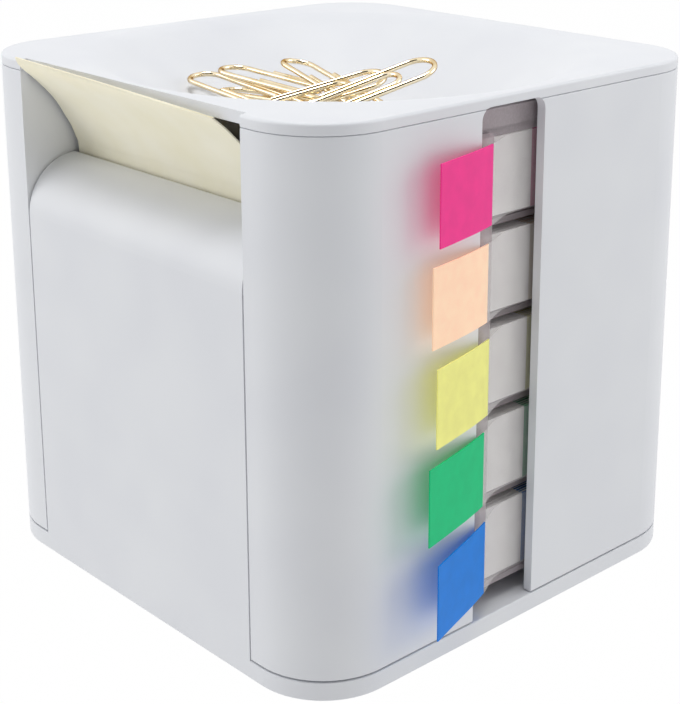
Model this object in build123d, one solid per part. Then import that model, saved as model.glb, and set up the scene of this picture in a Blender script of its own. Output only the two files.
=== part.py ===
from build123d import *
import math
import os

# Desk cube: a memo drawer at the front (-Y), index flags at the right (+X), a clip dish on top.
# The origin is the middle of the underside, +Z is up, and all sizes are in millimetres.

# ---- driving dimensions ----
cut_over = 1.0             # how far a cutter runs past the face it cuts
weld = 0.5                 # how far joined shapes run into each other
fuzz = 0.1                 # how near an edge has to be to a place to be picked
cube_width = 90.0          # X
cube_depth = 90.0          # Y
cube_height = 90.0         # Z, from the desk to the rim
corner_radius = 13.0       # the four upright corners
wall = 1.6                 # moulded outer walls
seam_gap = 0.3             # between the drawer's base plate and the hood
lid_seam = 0.05            # parting line between the hood and the lid
rim_thickness = 1.85       # the band of the lid that shows above the hood
rim_round = 0.5            # broken top edge of the rim
seam_round = 0.2           # broken edges along the parting lines

# anti-slip mat under the base
mat_width = 66.0
mat_corner = 6.0
mat_thickness = 1.0
mat_proud = 0.1            # how far it stands below the base plate
mat_margin = 0.2           # play round the mat in its recess

# drawer: base plate, front panel with a rolled top, pad pocket, rear tray
base_thickness = 3.1
base_round = 0.2           # broken lower edge of the base plate
panel_side_gap = 0.35      # between the panel and each column
panel_drop = 17.2          # top of the rolled panel below the rim
roll_radius = 9.6          # outside radius of the rolled top
panel_rib_thickness = 1.6
panel_rib_spacing = 18.0
pad_wall_thickness = 1.6
pad_wall_height = 46.0
tray_fence_height = 9.0
tray_fence_thickness = 1.7
tongue_length = 11.0       # sliding tongues at the back of the drawer
tongue_height = 1.2
tongue_depth = 1.4
tongue_lift = 2.8          # underside of the tongue above the base plate
tongue_setback = 1.3       # back end of the tongue in front of the hood's back wall
slide_gap = 0.3            # running clearance of the drawer
drawer_travel = 70.0

# hood
partition_thickness = 2.4  # inner walls beside the drawer
bay_spare = 2.5            # room left between the flag case's guides and the inner wall
return_depth = 11.5        # full-height part of the inner walls, behind the columns
partition_height = 30.0    # the rest of the inner walls
screen_drop = 24.0         # middle part of the inner walls, beside the memo pad, below the rim
screen_depth = 23.0

# slot for the flags in the right wall
slot_width = 14.2
slot_centre_y = -4.5
slot_corner = 2.0
slot_into_lid = 0.25       # the slot's top runs this far into the lid's rim

# memo pad and the slip that stands out of it (A8 slips, 52 x 74)
pocket_side_room = 6.2     # the panel is this much wider than the slips
pad_headroom = 12.8        # between the top of the pad and the rim
slip_thickness = 0.25
pad_thickness = 9.8
pad_offset_x = -2.5
pad_play = 0.3             # between the pad, its ribs and its wall
slip_gap = 0.4             # between the roll's lip and the slip behind it
slip_pulled_out = 17.0     # how far the front slip has been drawn up
slip_straight = 2.0        # the slip starts to bend this far below the top of the panel
slip_rise = 17.9           # its top edge above the panel
slip_lean = 11.1           # its top edge in front of the roll's lip

# index flags and their cartridge
flag_count = 5
flag_gap = 2.875           # between one flag and the next
flag_top_margin = 5.4      # between the top flag and the top of the hood
flag_low_margin = 4.5      # between the bottom flag and the base plate
flag_length = 44.0         # of a flat flag in its stack
flag_thickness = 0.25
flag_flat_run = 5.0        # a flag stays flat this far in front of the window's back edge
flag_stand_off = 4.2       # its tip stands off the wall
flag_tip_lead = 14.0       # its tip lies in front of the slot
stack_depth = 4.2
cartridge_wall = 1.0
cartridge_face = 0.8       # front flanges of the cartridge
cartridge_play = 0.2
back_thickness = 1.0
window_front_margin = 4.7  # flange that shows inside the slot, at its front edge
window_back_margin = 3.4   # the window runs on behind the slot's back edge
flange_corner = 1.0        # rounded ends of the flange
divider_thickness = 1.0
divider_setback = 1.6
cover_drop = 0.9           # strip that closes the slot's top above the flags: below the hood's top
guide_thickness = 1.8      # upright guides that hold the cartridge
guide_hook = 2.0
guide_setback = 1.0        # guides end below the top of the cartridge
seat_length = 8.0          # ledges that carry the cartridge
seat_thickness = 1.4

# lid with its dish
dish_depth = 14.0
rim_land = 1.0             # flat rim left outside the dish
dish_slope = 30.0          # of its side, in degrees
lip_radius = 10.0          # soft lip
lip_break = 2.5            # slope at which the lip leaves the flat rim, in degrees
foot_radius = 25.0         # soft turn into the flat floor
dish_wall = 1.9
lid_notch = 1.4            # the rim steps back over the drawer
tab_width = 14.0           # tabs that centre the lid inside the hood
tab_height = 6.0
tab_thickness = 1.5
tab_front = -15.0          # front ends of the tabs along the side walls
tab_middle = 14.0
tab_rear = 22.0
magnet_radius = 7.5
magnet_thickness = 3.0
magnet_play = 0.15
glue_line = 0.1            # between the magnet and the dish
magnet_boss_wall = 1.6
cup_gap = 0.8              # between the underside of the dish and the hood's walls

# paper clips
wire = 0.9
clip_length = 28.0
clip_outer_radius = 3.6
clip_end_radius = 3.0
clip_inner_radius = 2.4
clip_inner_setback = 5.0   # inner loop behind the outer one, and the outer free end likewise
clip_tail_setback = 2.0    # inner free end behind the outer one

# ---- places that follow from them ----
half_x = cube_width / 2
half_y = cube_depth / 2
dish_radius = min(half_x, half_y) - rim_land
dish_floor = cube_height - dish_depth
base_bottom = mat_proud
base_top = base_bottom + base_thickness
hood_bottom = base_top + seam_gap
lid_bottom = cube_height - rim_thickness
hood_top = lid_bottom - lid_seam
floor_under = dish_floor - dish_wall
inner_x = half_x - wall
inner_y = half_y - wall
panel_top = cube_height - panel_drop
screen_top = cube_height - screen_drop
tongue_front = inner_y - tongue_setback - tongue_length
groove_front = tongue_front - drawer_travel - slide_gap
tongue_bottom = base_top + tongue_lift

slot_front = slot_centre_y - slot_width / 2
slot_back = slot_centre_y + slot_width / 2
slot_top = lid_bottom + slot_into_lid

lip_y = -half_y + roll_radius
slip_face = lip_y + slip_gap + slip_thickness / 2
pad_front = slip_face + slip_thickness / 2 + pad_play / 2
pad_back = pad_front + pad_thickness
pad_wall_front = pad_back + pad_play
pad_wall_back = pad_wall_front + pad_wall_thickness

flag_room = hood_top - base_top - flag_top_margin - flag_low_margin
flag_height = (flag_room - (flag_count - 1) * flag_gap) / flag_count
flag_bottoms = []
for step in range(flag_count):
    flag_bottoms.append(base_top + flag_low_margin + step * (flag_height + flag_gap))
cartridge_front = inner_x - slide_gap
face_back = cartridge_front - cartridge_face
stack_front = face_back - flag_thickness - cartridge_play
stack_back = stack_front - stack_depth
back_front = stack_back - cartridge_play
back_back = back_front - back_thickness
stack_low_y = slot_centre_y - flag_length / 2
stack_high_y = slot_centre_y + flag_length / 2
case_low_y = stack_low_y - cartridge_play - cartridge_wall
case_high_y = stack_high_y + cartridge_play + cartridge_wall
case_bottom = flag_bottoms[0] - cartridge_play - cartridge_wall
case_top = flag_bottoms[-1] + flag_height + cartridge_play + cartridge_wall
window_front = slot_front + window_front_margin
window_back = slot_back + window_back_margin
guide_back = back_back - slide_gap

partition_outer = guide_back - guide_thickness - bay_spare
column_inner = partition_outer - partition_thickness
panel_width = 2 * (column_inner - panel_side_gap)
slip_width = panel_width - pocket_side_room
slip_height = cube_height - pad_headroom - base_top


def block(x0, x1, y0, y1, z0, z1):
    """A plain block between two corners."""
    return Pos((x0 + x1) / 2, (y0 + y1) / 2, (z0 + z1) / 2) * Box(x1 - x0, y1 - y0, z1 - z0)


def upright_rod(radius, z0, z1):
    """A round bar on the middle axis of the cube."""
    return Pos(0, 0, (z0 + z1) / 2) * Cylinder(radius, z1 - z0)


def rounded_block(width, depth, radius, z0, z1, top_break=0.0, low_break=0.0):
    """A block with rounded upright corners, centred on the origin, whose rims can be broken."""
    plan = RectangleRounded(width, depth, radius)
    solid = Pos(0, 0, z0) * extrude(plan, z1 - z0)
    if top_break > 0:
        solid = fillet(solid.edges().group_by(Axis.Z)[-1], top_break)
    if low_break > 0:
        solid = fillet(solid.edges().group_by(Axis.Z)[0], low_break)
    return solid


def sheet_section(points, thickness):
    """Section of a thin sheet: straight between its first two points, then one smooth bend."""
    start, bend = Vector(points[0]), Vector(points[1])
    run = (bend - start).normalized()
    leave = (Vector(points[-1]) - Vector(points[-2])).normalized()
    curve = Spline(*points[1:], tangents=[run, leave])
    samples = 3 * (len(points) - 2) + 1
    sides = []
    for side in (1, -1):
        shift = side * thickness / 2
        edge = []
        for step in range(samples):
            place = step / (samples - 1)
            along = curve % place
            edge.append(curve @ place + Vector(-along.Y, along.X) * shift)
        straight = Line(start + Vector(-run.Y, run.X) * shift, edge[0])
        sides.append((straight, Spline(*edge, tangents=[run, leave])))
    near, far = sides
    ends = Line(near[0] @ 0, far[0] @ 0) + Line(near[1] @ 1, far[1] @ 1)
    return make_face(near[0] + near[1] + far[0] + far[1] + ends)


# ---- hood ----
def slot_head():
    """Cutter for the slot's rounded top, which the hood and the lid's rim share."""
    head = Plane.YZ.offset(inner_x - cut_over) * Pos(slot_centre_y, slot_top - slot_width / 2)
    return extrude(head * RectangleRounded(slot_width, slot_width, slot_corner), wall + 2 * cut_over)


def make_hood():
    below, above = hood_bottom - cut_over, hood_top + cut_over
    shell = rounded_block(cube_width, cube_depth, corner_radius, hood_bottom, hood_top,
                          seam_round, seam_round)
    shell -= rounded_block(cube_width - 2 * wall, cube_depth - 2 * wall, corner_radius - wall, below, above)
    shell -= block(-column_inner, column_inner, -half_y - cut_over, -inner_y + cut_over, below, above)

    # inner walls: full height behind the columns, lower beside the pad, lowest at the back
    for side in (-1, 1):
        x0, x1 = sorted((side * column_inner, side * partition_outer))
        shell += block(x0, x1, -inner_y - wall / 2, -half_y + return_depth, hood_bottom, hood_top)
        shell += block(x0, x1, -half_y + return_depth - weld, -half_y + screen_depth,
                       hood_bottom, screen_top)
        shell += block(x0, x1, -half_y + screen_depth - weld, inner_y + wall / 2,
                       hood_bottom, partition_height)
        groove_depth = tongue_depth + slide_gap / 2
        g0, g1 = sorted((side * (column_inner - cut_over), side * (column_inner + groove_depth)))
        shell -= block(g0, g1, groove_front, inner_y - slide_gap,
                       tongue_bottom - slide_gap, tongue_bottom + tongue_height + slide_gap)

    # slot, open at the bottom, with rounded top corners
    shell -= block(inner_x - cut_over, half_x + cut_over, slot_front, slot_back, below, slot_top - slot_corner)
    shell -= slot_head()

    # upright guides that hold the cartridge against the right wall, and the seats it stands on
    for low, inward in ((case_low_y - slide_gap, 1), (case_high_y + slide_gap, -1)):
        y0, y1 = sorted((low, low - inward * guide_thickness))
        hook_y0, hook_y1 = sorted((low - inward * guide_thickness, low + inward * guide_hook))
        guide_top = case_top - guide_setback
        shell += block(guide_back - guide_thickness, inner_x + wall / 2, y0, y1, case_bottom, guide_top)
        shell += block(guide_back - guide_thickness, guide_back, hook_y0, hook_y1, case_bottom, guide_top)
        seat_y0, seat_y1 = sorted((low - inward * guide_thickness, low + inward * seat_length))
        shell += block(partition_outer - wall / 2, inner_x + wall / 2, seat_y0, seat_y1,
                       case_bottom - slide_gap - seat_thickness, case_bottom - slide_gap)
    room = block(-inner_x, inner_x, -inner_y, inner_y, 0, cube_height)
    return shell - (dish_solid(dish_wall + slide_gap, cube_height) & room)


# ---- lid ----
def dish_solid(drop, top):
    """Everything above the dish's soft surface, lowered by drop, and below top."""
    slope = math.radians(dish_slope)
    start = math.radians(lip_break)
    lip_x = dish_radius + lip_radius * math.sin(start)
    lip_z = cube_height - drop - lip_radius * math.cos(start)
    lip = CenterArc((lip_x, lip_z), lip_radius, 90 + lip_break, dish_slope - lip_break)
    foot_z = cube_height - drop - dish_depth + foot_radius
    fall = (lip @ 1).Y - (foot_z - foot_radius * math.cos(slope))
    foot_x = (lip @ 1).X - fall / math.tan(slope) - foot_radius * math.sin(slope)
    foot = CenterArc((foot_x, foot_z), foot_radius, -90 + dish_slope, -dish_slope)
    rest = Polyline(foot @ 1, (0, (foot @ 1).Y), (0, top), (dish_radius, top), lip @ 0)
    return revolve(Plane.XZ * make_face(lip + Line(lip @ 1, foot @ 0) + foot + rest), Axis.Z)


def make_lid():
    inset = wall + cup_gap
    above = cube_height + cut_over
    cup = rounded_block(cube_width - 2 * inset, cube_depth - 2 * inset, corner_radius - inset,
                        floor_under - dish_wall, above)
    lid = rounded_block(cube_width, cube_depth, corner_radius, lid_bottom, cube_height, rim_round, seam_round)
    lid += cup & dish_solid(dish_wall, cube_height)
    lid -= dish_solid(0, above)
    lid -= block(-column_inner, column_inner, -half_y - cut_over, -half_y + lid_notch,
                 lid_bottom - cut_over, above)
    lid -= slot_head()

    # tabs that drop inside the hood and centre the lid
    side = inner_x - slide_gap
    rear = inner_y - slide_gap
    for x0, x1, y0, y1 in (
        (-side, -side + tab_thickness, tab_front, tab_front + tab_width),
        (-side, -side + tab_thickness, tab_middle, tab_middle + tab_width),
        (side - tab_thickness, side, tab_rear, tab_rear + tab_width / 2),
        (-tab_width * 1.5, -tab_width / 2, rear - tab_thickness, rear),
        (tab_width / 2, tab_width * 1.5, rear - tab_thickness, rear),
    ):
        lid += block(x0, x1, y0, y1, lid_bottom - tab_height, lid_bottom + weld)

    # ring boss for the magnet under the dish floor
    bore_radius = magnet_radius + magnet_play
    ring_bottom = floor_under - magnet_thickness
    ring = upright_rod(bore_radius + magnet_boss_wall, ring_bottom, floor_under + weld)
    return lid + (ring - upright_rod(bore_radius, ring_bottom, floor_under))


def make_magnet():
    top = floor_under - glue_line
    return upright_rod(magnet_radius, top - magnet_thickness, top)


# ---- drawer ----
def make_drawer():
    plate = rounded_block(cube_width, cube_depth, corner_radius, base_bottom, base_top, seam_round, base_round)
    recess_width = mat_width + 2 * mat_margin
    plate -= rounded_block(recess_width, recess_width, mat_corner, base_bottom - cut_over, mat_thickness)

    # front panel: upright, then rolled inwards by a quarter turn
    centre_y = -half_y + roll_radius
    centre_z = panel_top - roll_radius
    inner = roll_radius - wall
    foot = base_top - weld
    outline = (
        Polyline((-half_y, foot), (-half_y, centre_z))
        + CenterArc((centre_y, centre_z), roll_radius, 90, 90)
        + Line((lip_y, panel_top), (lip_y, panel_top - wall))
        + CenterArc((centre_y, centre_z), inner, 90, 90)
        + Polyline((-inner_y, centre_z), (-inner_y, foot), (-half_y, foot))
    )
    section = Plane.YZ.offset(-panel_width / 2) * make_face(outline)
    tray = plate + extrude(section, panel_width)

    # ribs behind the panel, against which the pad stands
    rib_back = slip_face - slip_thickness / 2 - slip_gap
    for step in (-1, 0, 1):
        x = step * panel_rib_spacing
        tray += block(x - panel_rib_thickness / 2, x + panel_rib_thickness / 2, -inner_y - wall / 2, rib_back,
                      base_top - weld, panel_top - roll_radius)

    # wall behind the pad, and the rear tray with its sliding tongues
    edge = panel_width / 2
    tray += block(-edge, edge, pad_wall_front, pad_wall_back, base_top - weld, base_top + pad_wall_height)
    rear = inner_y - slide_gap
    fence_top = base_top + tray_fence_height
    tray += block(-edge, edge, rear - tray_fence_thickness, rear, base_top - weld, fence_top)
    for side in (-1, 1):
        x0, x1 = sorted((side * (edge - tray_fence_thickness), side * edge))
        tray += block(x0, x1, pad_wall_front, rear, base_top - weld, fence_top)
        t0, t1 = sorted((side * (edge - weld), side * (column_inner + tongue_depth - slide_gap / 2)))
        tray += block(t0, t1, tongue_front, tongue_front + tongue_length,
                      tongue_bottom, tongue_bottom + tongue_height)
    return tray


def make_mat():
    return rounded_block(mat_width, mat_width, mat_corner, 0, mat_thickness)


# ---- memo pad ----
# shares of the slip's lean and rise, from the panel up to its top edge
slip_bend = ((0.054, 0.179), (0.234, 0.402), (0.414, 0.575), (0.694, 0.76), (0.892, 0.872), (0.973, 0.939), (1, 1))


def make_pad():
    x0 = pad_offset_x - slip_width / 2
    return block(x0, x0 + slip_width, pad_front, pad_back, base_top, base_top + slip_height)


def make_slip():
    """The front slip, drawn up out of the pocket and bent forward over the rolled top."""
    points = [(slip_face, base_top + slip_pulled_out), (slip_face, panel_top - slip_straight)]
    for lean, rise in slip_bend:
        points.append((lip_y - lean * slip_lean, panel_top + rise * slip_rise))
    section = Plane.YZ.offset(pad_offset_x - slip_width / 2) * sheet_section(points, slip_thickness)
    return extrude(section, slip_width)


# ---- flags ----
# shares of the way out of the wall and of the way along it, from the start of the bend to the tip
flag_bend = ((0.032, 0.158), (0.144, 0.256), (0.354, 0.376), (0.537, 0.523), (0.691, 0.669), (1, 1))


def make_cartridge():
    room_low_y, room_high_y = stack_low_y - cartridge_play, stack_high_y + cartridge_play
    case = block(back_front, cartridge_front, case_low_y, case_high_y, case_bottom, case_top)
    case -= block(back_front - cut_over, face_back, room_low_y, room_high_y,
                  case_bottom + cartridge_wall, case_top - cartridge_wall)
    case -= block(face_back, cartridge_front + cut_over, window_front, window_back,
                  case_bottom - cut_over, case_top + cut_over)
    for bottom in flag_bottoms[:-1]:
        middle = bottom + flag_height + flag_gap / 2
        case += block(back_front, face_back - divider_setback, room_low_y - weld, room_high_y + weld,
                      middle - divider_thickness / 2, middle + divider_thickness / 2)
    case += block(face_back - cartridge_wall, face_back, room_low_y - weld, room_high_y + weld,
                  case_top - cartridge_wall / 2, hood_top - cover_drop)
    near_edge = (window_front - fuzz, window_front + fuzz)
    corners = case.edges().filter_by(Axis.X).filter_by_position(Axis.Y, *near_edge)
    return fillet(corners, flange_corner)


def make_cartridge_back():
    return block(back_back, back_front, case_low_y, case_high_y, case_bottom, case_top)


def make_stack(bottom):
    return block(stack_back, stack_front, stack_low_y, stack_high_y, bottom, bottom + flag_height)


def make_flag(bottom):
    """The top flag of a stack: it lies on the stack, bends out of the slot and points forward."""
    rest_x = stack_front + flag_thickness / 2 + cartridge_play / 2
    bend_y = window_back - flag_flat_run
    tip_x = half_x + flag_stand_off
    tip_y = slot_front - flag_tip_lead
    points = [(rest_x, stack_high_y), (rest_x, bend_y)]
    for out, along in flag_bend:
        points.append((rest_x + out * (tip_x - rest_x), bend_y + along * (tip_y - bend_y)))
    section = Pos(0, 0, bottom) * sheet_section(points, flag_thickness)
    return extrude(section, flag_height)


# ---- paper clips ----
def make_clip():
    """A gem clip of one bent wire, lying flat with its middle at the origin."""
    x_end = clip_length / 2 - clip_outer_radius - wire / 2
    x_start = -clip_length / 2 + clip_end_radius + wire / 2
    top = clip_outer_radius
    low = -clip_outer_radius
    inner_top = low + 2 * clip_end_radius
    inner_low = inner_top - 2 * clip_inner_radius
    x_inner = x_end - clip_inner_setback
    free_end = x_start + clip_inner_setback
    path = (
        Line((free_end, top), (x_end, top))
        + CenterArc((x_end, 0), clip_outer_radius, 90, -180)
        + Line((x_end, low), (x_start, low))
        + CenterArc((x_start, low + clip_end_radius), clip_end_radius, -90, -180)
        + Line((x_start, inner_top), (x_inner, inner_top))
        + CenterArc((x_inner, inner_top - clip_inner_radius), clip_inner_radius, 90, -180)
        + Line((x_inner, inner_low), (free_end + clip_tail_setback, inner_low))
    )
    start = Plane(origin=(free_end, top, 0), z_dir=(1, 0, 0))
    return sweep(start * Circle(wire / 2), path=path)


# middle of each clip in clip lengths from the middle of the dish floor, then its heading,
# its tilt up along its length, and its roll
clip_poses = {
    "paper_clip_1": (-0.143, -0.086, 0.052, -60, 2, 2),
    "paper_clip_2": (0.129, -0.182, 0.152, -30, 3, 1),
    "paper_clip_3": (0.111, 0.136, 0.080, -18, 0, -8),
    "paper_clip_4": (-0.25, -0.2, 0.190, 14, 0, -4),
    "paper_clip_5": (-0.364, -0.436, 0.245, 0, -5, 4),
    "paper_clip_6": (-0.268, -0.207, 0.286, 10, -5, 0),
    "paper_clip_7": (0.036, -0.079, 0.307, -11, -8, -8),
    "paper_clip_8": (0.539, -0.336, 0.361, 60, 19, 10),
    "paper_clip_9": (0.186, -0.421, 0.288, 56, 15, 10),
}


def place_clip(clip, pose):
    x, y, z, heading, tilt, roll = pose
    place = Pos(x * clip_length, y * clip_length, dish_floor + z * clip_length)
    return place * Rot(0, 0, heading) * Rot(0, -tilt, 0) * Rot(roll, 0, 0) * clip


# ---- all pieces ----
nodes = {
    "housing_shell": make_hood(),
    "dish_lid": make_lid(),
    "dish_magnet": make_magnet(),
    "drawer_tray": make_drawer(),
    "anti_slip_mat": make_mat(),
    "memo_pad": make_pad(),
    "memo_slip": make_slip(),
    "flag_cartridge": make_cartridge(),
    "cartridge_back": make_cartridge_back(),
}
colours = ("blue", "green", "yellow", "peach", "pink")
for colour, bottom in zip(colours, flag_bottoms):
    nodes["flag_stack_" + colour] = make_stack(bottom)
    nodes["flag_" + colour] = make_flag(bottom)
one_clip = make_clip()
for name, pose in clip_poses.items():
    nodes[name] = place_clip(one_clip, pose)

os.makedirs("parts", exist_ok=True)
for name, shape in nodes.items():
    export_step(shape, "parts/" + name + ".step")
    reach = shape.bounding_box()
    print(name, [round(v, 2) for v in reach.min], [round(v, 2) for v in reach.max])
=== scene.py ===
import math
import random

import bmesh
import bpy
import numpy as np
from mathutils import Matrix, Vector


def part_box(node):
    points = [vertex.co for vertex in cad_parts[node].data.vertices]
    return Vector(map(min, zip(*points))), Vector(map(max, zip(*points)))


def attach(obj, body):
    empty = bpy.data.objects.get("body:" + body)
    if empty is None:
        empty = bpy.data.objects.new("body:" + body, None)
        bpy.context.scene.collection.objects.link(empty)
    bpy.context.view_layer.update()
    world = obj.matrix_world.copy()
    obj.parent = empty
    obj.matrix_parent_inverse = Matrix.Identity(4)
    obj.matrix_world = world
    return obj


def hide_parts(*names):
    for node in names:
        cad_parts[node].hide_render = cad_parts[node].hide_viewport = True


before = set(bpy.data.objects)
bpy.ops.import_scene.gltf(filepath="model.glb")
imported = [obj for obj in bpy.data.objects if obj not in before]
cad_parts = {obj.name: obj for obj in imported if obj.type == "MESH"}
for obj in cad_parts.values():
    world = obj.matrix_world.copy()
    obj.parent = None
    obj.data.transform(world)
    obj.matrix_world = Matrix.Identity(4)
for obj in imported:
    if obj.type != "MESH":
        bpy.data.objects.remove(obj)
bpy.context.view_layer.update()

mm = 0.001
scene = bpy.context.scene
scene.view_settings.view_transform = "Standard"
random.seed(12)


# camera: solved from the edges of the cube, in millimetres and degrees
cameraSetup = {
    "azimuth": 46.838,
    "elevation": 15.319,
    "roll": 0.102,
    "target": (0.0, 0.0, 45.0),
    "distance": 284.273,
    "sideStep": 6.585,
    "upStep": 17.571,
    "lens": 80.70,
    "shiftX": -0.05114,
    "shiftY": -0.21591,
}


def makeCamera(setup):
    azimuth = math.radians(setup["azimuth"])
    elevation = math.radians(setup["elevation"])
    roll = math.radians(setup["roll"])
    level = math.cos(elevation)
    back = Vector((math.sin(azimuth) * level, -math.cos(azimuth) * level, math.sin(elevation)))
    side = Vector((math.cos(azimuth), math.sin(azimuth), 0))
    up = back.cross(side)
    right = side * math.cos(roll) + up * math.sin(roll)
    top = up * math.cos(roll) - side * math.sin(roll)
    place = Vector(setup["target"]) + back * setup["distance"]
    place += right * setup["sideStep"] + top * setup["upStep"]
    data = bpy.data.cameras.new("camera")
    data.sensor_width = 36
    data.lens = setup["lens"]
    data.shift_x = setup["shiftX"]
    data.shift_y = setup["shiftY"]
    data.clip_start = 0.01
    data.clip_end = 20
    camera = bpy.data.objects.new("camera", data)
    turn = Matrix((right, top, back)).transposed()
    camera.matrix_world = Matrix.Translation(place * mm) @ turn.to_4x4()
    scene.collection.objects.link(camera)
    scene.camera = camera


makeCamera(cameraSetup)
print("camera placed")


# node helpers
def toLinear(code):
    channels = [int(code[i:i + 2], 16) / 255 for i in (1, 3, 5)]
    linear = [c / 12.92 if c <= 0.04045 else ((c + 0.055) / 1.055) ** 2.4 for c in channels]
    return (*linear, 1.0)


def addNode(tree, kind, sockets=None, **settings):
    node = tree.nodes.new(kind)
    for name, value in settings.items():
        setattr(node, name, value)
    for name, value in (sockets or {}).items():
        if isinstance(value, bpy.types.NodeSocket):
            tree.links.new(value, node.inputs[name])
        else:
            node.inputs[name].default_value = value
    return node


def newMaterial(name):
    material = bpy.data.materials.new(name)
    material.use_nodes = True
    tree = material.node_tree
    tree.nodes.clear()
    shader = addNode(tree, "ShaderNodeBsdfPrincipled")
    addNode(tree, "ShaderNodeOutputMaterial", {"Surface": shader.outputs[0]})
    place = addNode(tree, "ShaderNodeTexCoord").outputs["Object"]
    return material, tree, shader, place


def blendShader(tree, shader, other, share):
    output = next(node for node in tree.nodes if node.type == "OUTPUT_MATERIAL")
    blend = addNode(tree, "ShaderNodeMixShader", {0: share, 1: shader.outputs[0], 2: other.outputs[0]})
    tree.links.new(blend.outputs[0], output.inputs["Surface"])


def grain(tree, place, size, detail=2.0, stretch=(1, 1, 1)):
    # noise whose features are about size metres across
    spread = addNode(tree, "ShaderNodeMapping", {"Vector": place, "Scale": stretch})
    return addNode(tree, "ShaderNodeTexNoise",
                   {"Vector": spread.outputs[0], "Scale": 1 / size, "Detail": detail}).outputs["Fac"]


def between(tree, factor, low, high):
    return addNode(tree, "ShaderNodeMapRange", {"Value": factor, "To Min": low, "To Max": high}).outputs[0]


def tint(tree, factor, dark, light):
    ramp = addNode(tree, "ShaderNodeValToRGB", {"Fac": factor})
    ramp.color_ramp.elements[0].position = 0.3
    ramp.color_ramp.elements[0].color = toLinear(dark)
    ramp.color_ramp.elements[1].position = 0.7
    ramp.color_ramp.elements[1].color = toLinear(light)
    return ramp.outputs["Color"]


def bump(tree, height, distance, strength, under=None):
    sockets = {"Height": height, "Distance": distance, "Strength": strength}
    if under is not None:
        sockets["Normal"] = under
    return addNode(tree, "ShaderNodeBump", sockets).outputs[0]


# satin ABS, injection moulded in a spark-eroded tool: a soft even sheen over a very fine grain
absSatin = {
    "dark": "#E0E2E7",
    "light": "#E4E6EA",
    "roughness": (0.40, 0.52),
    "ior": 1.53,
    "grainSize": 0.35 * mm,      # the real grain is about 0.1 mm; drawn coarser so that it shows
    "grainDepth": 0.006 * mm,
    "flowSize": 14 * mm,         # slow unevenness from the flow of the melt
    "flowDepth": 0.02 * mm,
}


def makeAbsSatin(look):
    material, tree, shader, place = newMaterial("abs_satin_moulded")
    flow = grain(tree, place, look["flowSize"], 1.0)
    fine = grain(tree, place, look["grainSize"], 2.0)
    tree.links.new(tint(tree, flow, look["dark"], look["light"]), shader.inputs["Base Color"])
    tree.links.new(between(tree, fine, *look["roughness"]), shader.inputs["Roughness"])
    wave = bump(tree, flow, look["flowDepth"], 0.5)
    tree.links.new(bump(tree, fine, look["grainDepth"], 0.6, wave), shader.inputs["Normal"])
    shader.inputs["IOR"].default_value = look["ior"]
    return material


# uncoated cream paper: dull, with short fibres and a cloudy tone, and thin enough to let light through
creamPaper = {
    "dark": "#FBF7DF",
    "light": "#FFFCEA",
    "through": "#F2DC8E",
    "throughShare": 0.12,
    "roughness": 0.86,
    "ior": 1.47,
    "fibreLength": 1.2 * mm,
    "fibreWidth": 0.15 * mm,
    "fibreDepth": 0.012 * mm,
    "cloudSize": 9 * mm,
}


def makeCreamPaper(look):
    material, tree, shader, place = newMaterial("paper_cream_uncoated")
    cloud = grain(tree, place, look["cloudSize"], 4.0)
    narrow = look["fibreLength"] / look["fibreWidth"]
    fibres = grain(tree, place, look["fibreLength"], 3.0, (1, narrow, narrow))
    tree.links.new(tint(tree, cloud, look["dark"], look["light"]), shader.inputs["Base Color"])
    tree.links.new(bump(tree, fibres, look["fibreDepth"], 0.5), shader.inputs["Normal"])
    shader.inputs["Roughness"].default_value = look["roughness"]
    shader.inputs["IOR"].default_value = look["ior"]
    glow = addNode(tree, "ShaderNodeBsdfTranslucent", {"Color": toLinear(look["through"])})
    blendShader(tree, shader, glow, look["throughShare"])
    return material


# printed translucent film: smooth, a little glossy, and its shadow has its own colour
filmLooks = {
    "blue": "#0086E6",
    "green": "#00D088",
    "yellow": "#FBF99C",
    "peach": "#FFE8CE",
    "pink": "#FA3C9E",
}
filmFinish = {
    "roughness": 0.5,
    "ior": 1.33,
    "glowShare": 0.15,
    "shadowShare": 0.86,
    "shadowPale": 0.35,          # how far the light in its shadow is from the colour, towards white
    "stackPaintedShade": 0.8,           # painted shade: the print on the stacks is drawn darker, for the shade they lie in inside the slot
    "mottleSize": 2.5 * mm,
    "mottleDepth": 0.004 * mm,
}
# painted glow: the pale peach print glows orange of its own, standing in for the red that its fluorescent
# ink gives back
filmPaintedGlows = {"peach": {"colour": "#FFA366", "strength": 0.12}}
# the unprinted film: a clear tail on the flags, milky where many lie on one another
clearFilm = {
    "dark": "#EAE7E7",
    "light": "#F2F0EF",
    "tailAlpha": 0.24,
    "stackAlpha": 1.0,
}


def shade(code, share):
    channels = [int(code[i:i + 2], 16) for i in (1, 3, 5)]
    return "#" + "".join("%02X" % max(0, min(255, round(c * share))) for c in channels)


def paler(code, share):
    channels = [int(code[i:i + 2], 16) for i in (1, 3, 5)]
    return "#" + "".join("%02X" % round(c + (255 - c) * share) for c in channels)


def makeFilm(name, dark, light, look, alpha=1.0):
    material, tree, shader, place = newMaterial(name)
    mottle = grain(tree, place, look["mottleSize"], 3.0)
    tree.links.new(tint(tree, mottle, dark, light), shader.inputs["Base Color"])
    tree.links.new(bump(tree, mottle, look["mottleDepth"], 0.5), shader.inputs["Normal"])
    shader.inputs["Roughness"].default_value = look["roughness"]
    shader.inputs["IOR"].default_value = look["ior"]
    shader.inputs["Alpha"].default_value = alpha
    return material, tree, shader


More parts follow.
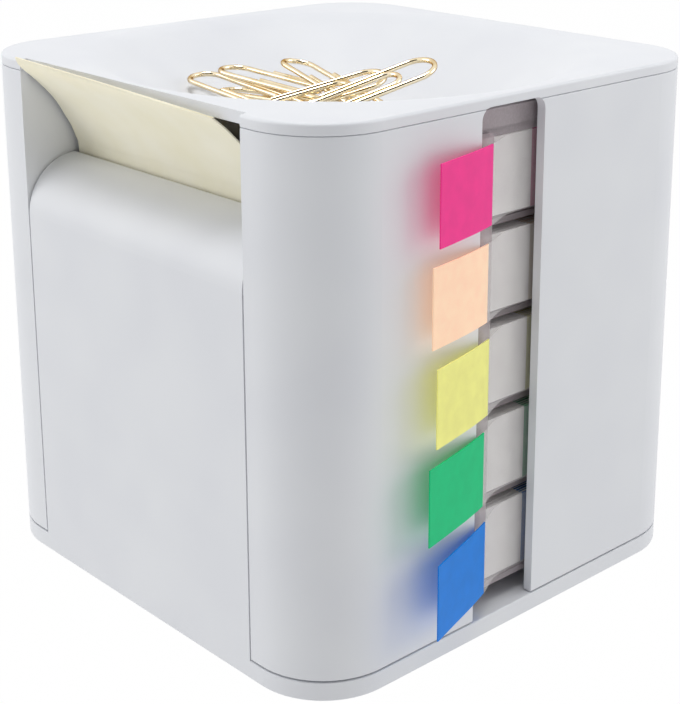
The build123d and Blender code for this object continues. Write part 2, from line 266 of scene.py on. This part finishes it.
def makePrintedFilm(name, code, look, paintedInkGlow=None):
    material, tree, shader = makeFilm(name, shade(code, 0.98), shade(code, 1.02), look)
    # painted glow: emission that lights the print from within
    if paintedInkGlow:
        shader.inputs["Emission Color"].default_value = toLinear(paintedInkGlow["colour"])
        shader.inputs["Emission Strength"].default_value = paintedInkGlow["strength"]
    glow = addNode(tree, "ShaderNodeBsdfTranslucent", {"Color": toLinear(code)})
    body = addNode(tree, "ShaderNodeMixShader",
                   {0: look["glowShare"], 1: shader.outputs[0], 2: glow.outputs[0]})
    cast = addNode(tree, "ShaderNodeBsdfTransparent", {"Color": toLinear(paler(code, look["shadowPale"]))})
    path = addNode(tree, "ShaderNodeLightPath")
    share = addNode(tree, "ShaderNodeMath", {0: path.outputs["Is Shadow Ray"], 1: look["shadowShare"]},
                    operation="MULTIPLY")
    blendShader(tree, body, cast, share.outputs[0])
    return material


# frosted polypropylene, moulded thin: milky, with a waxy sheen
frostedCase = {
    "dark": "#CFC4C8",
    "light": "#D9CFD3",
    "roughness": 0.46,
    "ior": 1.49,
    "alpha": 0.42,
    "frostSize": 0.4 * mm,
    "frostDepth": 0.006 * mm,
}


def makeFrostedCase(look):
    material, tree, shader, place = newMaterial("polypropylene_frosted")
    frost = grain(tree, place, look["frostSize"], 2.0)
    tree.links.new(tint(tree, frost, look["dark"], look["light"]), shader.inputs["Base Color"])
    tree.links.new(bump(tree, frost, look["frostDepth"], 0.5), shader.inputs["Normal"])
    shader.inputs["Roughness"].default_value = look["roughness"]
    shader.inputs["IOR"].default_value = look["ior"]
    shader.inputs["Alpha"].default_value = look["alpha"]
    return material


# steel wire with a pale gold plating: bright, with brown in the grazing reflections
giltWire = {
    "dark": "#F0DEB6",
    "light": "#FAEFD4",
    "grazing": "#B08A58",
    "roughness": (0.06, 0.12),
    "drawLength": 3 * mm,        # faint lengthwise lines from wire drawing
    "drawDepth": 0.004 * mm,
}


def makeGiltWire(look):
    material, tree, shader, place = newMaterial("steel_wire_gilt")
    lines = grain(tree, place, look["drawLength"], 3.0)
    tree.links.new(tint(tree, lines, look["dark"], look["light"]), shader.inputs["Base Color"])
    tree.links.new(between(tree, lines, *look["roughness"]), shader.inputs["Roughness"])
    tree.links.new(bump(tree, lines, look["drawDepth"], 0.4), shader.inputs["Normal"])
    shader.inputs["Metallic"].default_value = 1.0
    shader.inputs["Specular Tint"].default_value = toLinear(look["grazing"])
    return material


# bright nickel plating on the magnet: smooth with fine handling marks
nickelPlate = {
    "dark": "#B9B8B4",
    "light": "#CFCECA",
    "roughness": (0.18, 0.32),
    "markSize": 1.5 * mm,
    "markDepth": 0.004 * mm,
}


def makeNickelPlate(look):
    material, tree, shader, place = newMaterial("nickel_plate")
    marks = grain(tree, place, look["markSize"], 5.0)
    tree.links.new(tint(tree, marks, look["dark"], look["light"]), shader.inputs["Base Color"])
    tree.links.new(between(tree, marks, *look["roughness"]), shader.inputs["Roughness"])
    tree.links.new(bump(tree, marks, look["markDepth"], 0.4), shader.inputs["Normal"])
    shader.inputs["Metallic"].default_value = 1.0
    return material


# closed-cell foam sheet: dull dark grey with small pores
foamSheet = {
    "dark": "#2C2C2F",
    "light": "#3A3A3E",
    "roughness": 0.9,
    "poreSize": 0.8 * mm,
    "poreDepth": 0.08 * mm,
}


def makeFoamSheet(look):
    material, tree, shader, place = newMaterial("eva_foam_sheet")
    pores = addNode(tree, "ShaderNodeTexVoronoi", {"Vector": place, "Scale": 1 / look["poreSize"]})
    pore = pores.outputs["Distance"]
    tree.links.new(tint(tree, pore, look["dark"], look["light"]), shader.inputs["Base Color"])
    tree.links.new(bump(tree, pore, look["poreDepth"], 0.6), shader.inputs["Normal"])
    shader.inputs["Roughness"].default_value = look["roughness"]
    return material


materials = {
    "abs": makeAbsSatin(absSatin),
    "paper": makeCreamPaper(creamPaper),
    "case": makeFrostedCase(frostedCase),
    "wire": makeGiltWire(giltWire),
    "nickel": makeNickelPlate(nickelPlate),
    "foam": makeFoamSheet(foamSheet),
    "tail": makeFilm("film_clear_tail", clearFilm["dark"], clearFilm["light"], filmFinish,
                     clearFilm["tailAlpha"])[0],
    "milky": makeFilm("film_clear_stacked", clearFilm["dark"], clearFilm["light"], filmFinish,
                      clearFilm["stackAlpha"])[0],
}
for colour, code in filmLooks.items():
    materials[colour] = makePrintedFilm("film_printed_" + colour, code, filmFinish, filmPaintedGlows.get(colour))
    # painted shade: the stacks take a darker copy of each print colour
    stacked = shade(code, filmFinish["stackPaintedShade"])
    materials[colour + "_stack"] = makePrintedFilm("film_stacked_shaded_" + colour, stacked, filmFinish)
print("materials made")


def dress(nodeName, material):
    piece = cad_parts[nodeName]
    piece.data.materials.clear()
    piece.data.materials.append(material)


for nodeName in ("housing_shell", "dish_lid", "drawer_tray"):
    dress(nodeName, materials["abs"])
for nodeName in ("flag_cartridge", "cartridge_back"):
    dress(nodeName, materials["case"])
dress("dish_magnet", materials["nickel"])
dress("anti_slip_mat", materials["foam"])
clipNames = [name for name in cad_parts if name.startswith("paper_clip_")]
for nodeName in clipNames:
    dress(nodeName, materials["wire"])
print("moulded pieces dressed")


# mesh helpers
def smoothPath(points, steps):
    # Catmull-Rom through the points, as (place, unit tangent) pairs
    known = [Vector(p) for p in points]
    known = [2 * known[0] - known[1], *known, 2 * known[-1] - known[-2]]
    path = []
    for i in range(1, len(known) - 2):
        before, start, end, after = known[i - 1:i + 3]
        for step in range(steps + (i == len(known) - 3)):
            t = step / steps
            place = 0.5 * (2 * start + (end - before) * t
                           + (2 * before - 5 * start + 4 * end - after) * t * t
                           + (3 * start - before - 3 * end + after) * t ** 3)
            slope = 0.5 * ((end - before) + 2 * (2 * before - 5 * start + 4 * end - after) * t
                           + 3 * (3 * start - before - 3 * end + after) * t * t)
            path.append((place, slope.normalized()))
    return path


def meshPiece(name, vertices, faces, materialList, faceMaterials=None, smooth=True):
    mesh = bpy.data.meshes.new(name)
    mesh.from_pydata([tuple(v) for v in vertices], [], faces)
    for material in materialList:
        mesh.materials.append(material)
    for face in mesh.polygons:
        face.use_smooth = smooth
        if faceMaterials is not None:
            face.material_index = faceMaterials[face.index]
    mesh.update()
    piece = bpy.data.objects.new(name, mesh)
    scene.collection.objects.link(piece)
    return piece


def bentSheet(name, rows, thickness, materialList, rowMaterials=None):
    # rows run along the sheet; each is a list of (place, normal) across it
    count, across = len(rows), len(rows[0])
    vertices = []
    for side in (0.5, -0.5):
        for row in rows:
            vertices += [place + normal * thickness * side for place, normal in row]
    faces, slots = [], []
    half = count * across

    def index(side, i, j):
        return side * half + i * across + j

    for i in range(count - 1):
        zone = rowMaterials[i] if rowMaterials else 0
        for j in range(across - 1):
            corners = (index(0, i, j), index(0, i + 1, j), index(0, i + 1, j + 1), index(0, i, j + 1))
            faces += [corners, tuple(reversed([c + half for c in corners]))]
            slots += [zone, zone]
        for j in (0, across - 1):
            rim = (index(0, i, j), index(0, i + 1, j), index(1, i + 1, j), index(1, i, j))
            faces.append(rim if j else tuple(reversed(rim)))
            slots.append(zone)
    for i in (0, count - 1):
        zone = rowMaterials[min(i, count - 2)] if rowMaterials else 0
        for j in range(across - 1):
            rim = (index(0, i, j), index(0, i, j + 1), index(1, i, j + 1), index(1, i, j))
            faces.append(tuple(reversed(rim)) if i else rim)
            slots.append(zone)
    piece = meshPiece(name, vertices, faces, materialList, slots)
    clean = bmesh.new()
    clean.from_mesh(piece.data)
    bmesh.ops.recalc_face_normals(clean, faces=clean.faces)
    clean.to_mesh(piece.data)
    clean.free()
    crisp = piece.modifiers.new("crisp edges", "EDGE_SPLIT")
    crisp.split_angle = math.radians(40)
    return piece


# the slip that stands out of the pocket: upright in the pad, then bent forward over the rolled top
slipLook = {
    "thickness": 0.22,
    "across": 26,
    "steps": 6,
    # section from the bottom end up, as steps back from its front end and down from its top end
    "section": [
        (11.87, 70.5), (11.87, 45.0), (11.87, 19.93), (11.12, 14.7), (9.1, 10.7), (7.1, 7.6),
        (4.0, 4.3), (1.8, 2.3), (0.75, 1.15), (0.3, 0.05),
    ],
    "sway": 0.25,                # the sheet isn't quite flat across
    "curl": (1.35, 2.15),        # how far its far top corner leans back and down
    "curlPower": 6,              # a high power keeps the lean to the top of the sheet
}


def makeSlip(look):
    low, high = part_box("memo_slip")
    rows = []
    path = smoothPath([(y, z, 0) for y, z in look["section"]], look["steps"])
    for i, (place, slope) in enumerate(path):
        row = []
        climb = (i / (len(path) - 1)) ** look["curlPower"]
        reach = 1 - place.x / look["section"][0][0]
        for step in range(look["across"] + 1):
            share = step / look["across"]
            x = low.x + (high.x - low.x) * share
            sway = look["sway"] * math.sin(math.pi * share) * reach * mm
            back, down = (size * share * climb * mm for size in look["curl"])
            spot = Vector((x, low.y + place.x * mm + sway + back, high.z - place.y * mm - down))
            normal = Vector((0, slope.y, slope.x)).normalized()
            row.append((spot, normal))
        rows.append(row)
    slip = bentSheet("memo_sheet", rows, look["thickness"] * mm, [materials["paper"]])
    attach(slip, "drawer")
    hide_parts("memo_slip")


makeSlip(slipLook)
print("memo slip made")


# the pad: many sheets, none quite in line with the next
padLook = {
    "sheets": 34,
    "gap": 0.05,                 # air between two sheets
    "stray": 0.28,               # how far a sheet can be out of line
    "lean": 0.10,
    "columns": 9,
}


def makePad(look):
    low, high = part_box("memo_pad")
    pitch = (high.y - low.y) / look["sheets"]
    stray = look["stray"] * mm
    vertices, faces = [], []
    for sheet in range(look["sheets"]):
        y0 = low.y + sheet * pitch + look["gap"] * mm / 2
        y1 = y0 + pitch - look["gap"] * mm
        x0 = low.x + random.uniform(0, stray)
        x1 = high.x - random.uniform(0, stray)
        z1 = high.z - random.uniform(0, stray)
        bow = random.uniform(-look["lean"], look["lean"]) * mm
        base = len(vertices)
        columns = look["columns"]
        for step in range(columns):
            share = step / (columns - 1)
            x = x0 + (x1 - x0) * share
            top = z1 - abs(bow) * (2 * share - 1) ** 2
            vertices += [(x, y0, low.z), (x, y1, low.z), (x, y1, top), (x, y0, top)]
        for step in range(columns - 1):
            a, b = base + 4 * step, base + 4 * (step + 1)
            for k in range(4):
                n = (k + 1) % 4
                faces.append((a + k, a + n, b + n, b + k))
        faces.append((base + 3, base + 2, base + 1, base))
        end = base + 4 * (columns - 1)
        faces.append((end, end + 1, end + 2, end + 3))
    pad = meshPiece("memo_block", vertices, faces, [materials["paper"]], smooth=False)
    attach(pad, "drawer")
    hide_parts("memo_pad")


makePad(padLook)
print("memo pad made")


# index flags: printed tip, clear tail, each bent out of the slot and pointing forward
flagLook = {
    "thickness": 0.22,
    "across": 6,
    "steps": 9,
    "tipShare": 0.6,             # the part of the flag, from its tip, that the swing bends
    # plan of a flag from its tail to its tip, as (x, y) inside its own box
    "plan": [
        (0.12, 43.1), (0.12, 36.0), (0.12, 26.6), (0.35, 22.4), (1.15, 19.8), (2.65, 16.6),
        (3.95, 12.7), (5.05, 8.8), (7.25, 0.03),
    ],
}
# how far each tip stands out, how far it is drawn back, and where its print ends
flagPoses = {
    "pink": {"swing": -0.7, "back": 1.8, "print": 15.5},
    "peach": {"swing": -1.2, "back": 1.0, "print": 15.7},
    "yellow": {"swing": -0.4, "back": 1.3, "print": 15.8},
    "green": {"swing": -0.2, "back": -0.3, "print": 16.3},
    "blue": {"swing": 1.1, "back": 0.5, "print": 16.3},
}


def makeFlag(colour, look, pose):
    low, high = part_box("flag_" + colour)
    rows, zones = [], []
    path = smoothPath([(x, y, 0) for x, y in look["plan"]], look["steps"])
    length = look["plan"][0][1]
    for place, slope in path:
        tip = max(0.0, 1 - place.y / (look["tipShare"] * length)) ** 2
        y = place.y + pose["back"] * (1 - place.y / length)
        row = []
        for step in range(look["across"] + 1):
            share = step / look["across"]
            x = low.x + (place.x + pose["swing"] * tip) * mm
            z = low.z + (high.z - low.z) * share
            normal = Vector((slope.y, -slope.x, 0)).normalized()
            row.append((Vector((x, low.y + y * mm, z)), normal))
        rows.append(row)
        zones.append(0 if place.y <= pose["print"] + 0.01 else 1)
    zones = [max(a, b) for a, b in zip(zones, zones[1:])]
    flag = bentSheet("film_flag_" + colour, rows, look["thickness"] * mm,
                     [materials[colour], materials["tail"]], zones)
    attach(flag, "housing")
    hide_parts("flag_" + colour)


for colour in filmLooks:
    makeFlag(colour, flagLook, flagPoses[colour])
print("flags made")


# what is left of each stack: films with the printed ends turned about, in a zigzag
stackLook = {
    "films": 14,
    "gap": 0.06,
    "stray": 0.22,
    "printLength": 14.1,
}


def makeStack(colour, look):
    low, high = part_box("flag_stack_" + colour)
    pitch = (high.x - low.x) / look["films"]
    stray = look["stray"] * mm
    vertices, faces, slots = [], [], []
    for film in range(look["films"]):
        x1 = high.x - film * pitch
        x0 = x1 - pitch + look["gap"] * mm
        y0 = low.y + random.uniform(0, stray)
        y1 = high.y - random.uniform(0, stray)
        z0 = low.z + random.uniform(0, stray) / 2
        z1 = high.z - random.uniform(0, stray) / 2
        edge = y1 - look["printLength"] * mm if film % 2 == 0 else y0 + look["printLength"] * mm
        base = len(vertices)
        for y in (y0, edge, y1):
            vertices += [(x0, y, z0), (x1, y, z0), (x1, y, z1), (x0, y, z1)]
        for part in (0, 1):
            printed = part == (film % 2 == 0)
            a, b = base + 4 * part, base + 4 * (part + 1)
            for k in range(4):
                n = (k + 1) % 4
                faces.append((a + k, b + k, b + n, a + n))
                slots.append(0 if printed else 1)
        faces.append((base, base + 1, base + 2, base + 3))
        slots.append(1 if film % 2 == 0 else 0)
        faces.append((base + 11, base + 10, base + 9, base + 8))
        slots.append(0 if film % 2 == 0 else 1)
    # the printed ends of the stacks carry the darker copy with painted shade
    stack = meshPiece("film_stack_" + colour, vertices, faces,
                      [materials[colour + "_stack"], materials["milky"]], slots, smooth=False)
    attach(stack, "housing")
    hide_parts("flag_stack_" + colour)


for colour in filmLooks:
    makeStack(colour, stackLook)
print("flag stacks made")


# floor and light: a pale light table, a soft sky, two side lights and one above
floorLook = {
    "size": 4.0,
    "colour": "#ECECEC",
    "under": 0.80,               # share of glow in the light that it throws on the object
    "glow": 0.995,               # share of glow where it is seen
}
skyLook = {
    "diffuse": 0.27,             # strength of the light on the object
    "seen": 1.0,
}
lampTarget = (0.0, 0.0, 0.05)
lampLook = {
    "left": {"from": (-0.68, -0.64, 0.26), "size": 0.7, "power": 3.7},
    "right": {"from": (0.32, 0.40, 0.20), "size": 0.30, "power": 0.78},
    "top": {"from": (0.05, -0.05, 0.95), "size": 0.4, "power": 5.25},
}
# a dark card that only reflections show: it draws the thin dark lines along the wires
cardLook = {
    "high": {"from": (0.48, -0.45, 0.55), "width": 1.2, "height": 0.75},
}
cardColour = "#20140A"
cardTarget = (0.0, 0.0, 0.08)


def lightPathSeen(tree):
    # 1 for rays that should meet the plain background: camera, glossy and transmission rays
    path = addNode(tree, "ShaderNodeLightPath").outputs
    pair = addNode(tree, "ShaderNodeMath", {0: path["Is Camera Ray"], 1: path["Is Glossy Ray"]},
                   operation="MAXIMUM")
    return addNode(tree, "ShaderNodeMath", {0: pair.outputs[0], 1: path["Is Transmission Ray"]},
                   operation="MAXIMUM").outputs[0]


def makeFloor(look):
    half = look["size"] / 2
    corners = [(-half, -half, 0), (half, -half, 0), (half, half, 0), (-half, half, 0)]
    material = bpy.data.materials.new("floor_pale")
    material.use_nodes = True
    tree = material.node_tree
    tree.nodes.clear()
    matt = addNode(tree, "ShaderNodeBsdfDiffuse", {"Color": toLinear(look["colour"])})
    glow = addNode(tree, "ShaderNodeEmission", {"Color": (1, 1, 1, 1), "Strength": 1.0})
    share = between(tree, lightPathSeen(tree), look["under"], look["glow"])
    blend = addNode(tree, "ShaderNodeMixShader", {0: share, 1: matt.outputs[0], 2: glow.outputs[0]})
    addNode(tree, "ShaderNodeOutputMaterial", {"Surface": blend.outputs[0]})
    floor = meshPiece("floor", corners, [(0, 1, 2, 3)], [material], smooth=False)


def makeSky(look):
    world = bpy.data.worlds.new("sky")
    world.use_nodes = True
    tree = world.node_tree
    tree.nodes.clear()
    strength = between(tree, lightPathSeen(tree), look["diffuse"], look["seen"])
    sky = addNode(tree, "ShaderNodeBackground", {"Color": (1, 1, 1, 1), "Strength": strength})
    addNode(tree, "ShaderNodeOutputWorld", {"Surface": sky.outputs[0]})
    scene.world = world


def makeLamp(name, look):
    data = bpy.data.lights.new("lamp_" + name, "AREA")
    data.shape = "SQUARE"
    data.size = look["size"]
    data.energy = look["power"]
    lamp = bpy.data.objects.new("lamp_" + name, data)
    lamp.location = look["from"]
    lamp.rotation_euler = (Vector(lampTarget) - lamp.location).to_track_quat("-Z", "Y").to_euler()
    scene.collection.objects.link(lamp)


def makeCard(name, look, colour):
    half, rise = look["width"] / 2, look["height"] / 2
    corners = [(-half, -rise, 0), (half, -rise, 0), (half, rise, 0), (-half, rise, 0)]
    material = bpy.data.materials.new("card_dark_" + name)
    material.use_nodes = True
    tree = material.node_tree
    tree.nodes.clear()
    dull = addNode(tree, "ShaderNodeBsdfDiffuse", {"Color": toLinear(colour)})
    addNode(tree, "ShaderNodeOutputMaterial", {"Surface": dull.outputs[0]})
    card = meshPiece("card_" + name, corners, [(0, 1, 2, 3)], [material], smooth=False)
    card.location = look["from"]
    card.rotation_euler = (Vector(cardTarget) - card.location).to_track_quat("-Z", "Y").to_euler()
    card.visible_camera = False
    card.visible_diffuse = False
    card.visible_shadow = False
    card.visible_transmission = False


makeFloor(floorLook)
makeSky(skyLook)
for name, look in cardLook.items():
    makeCard(name, look, cardColour)
for name, look in lampLook.items():
    makeLamp(name, look)
print("floor and light placed")
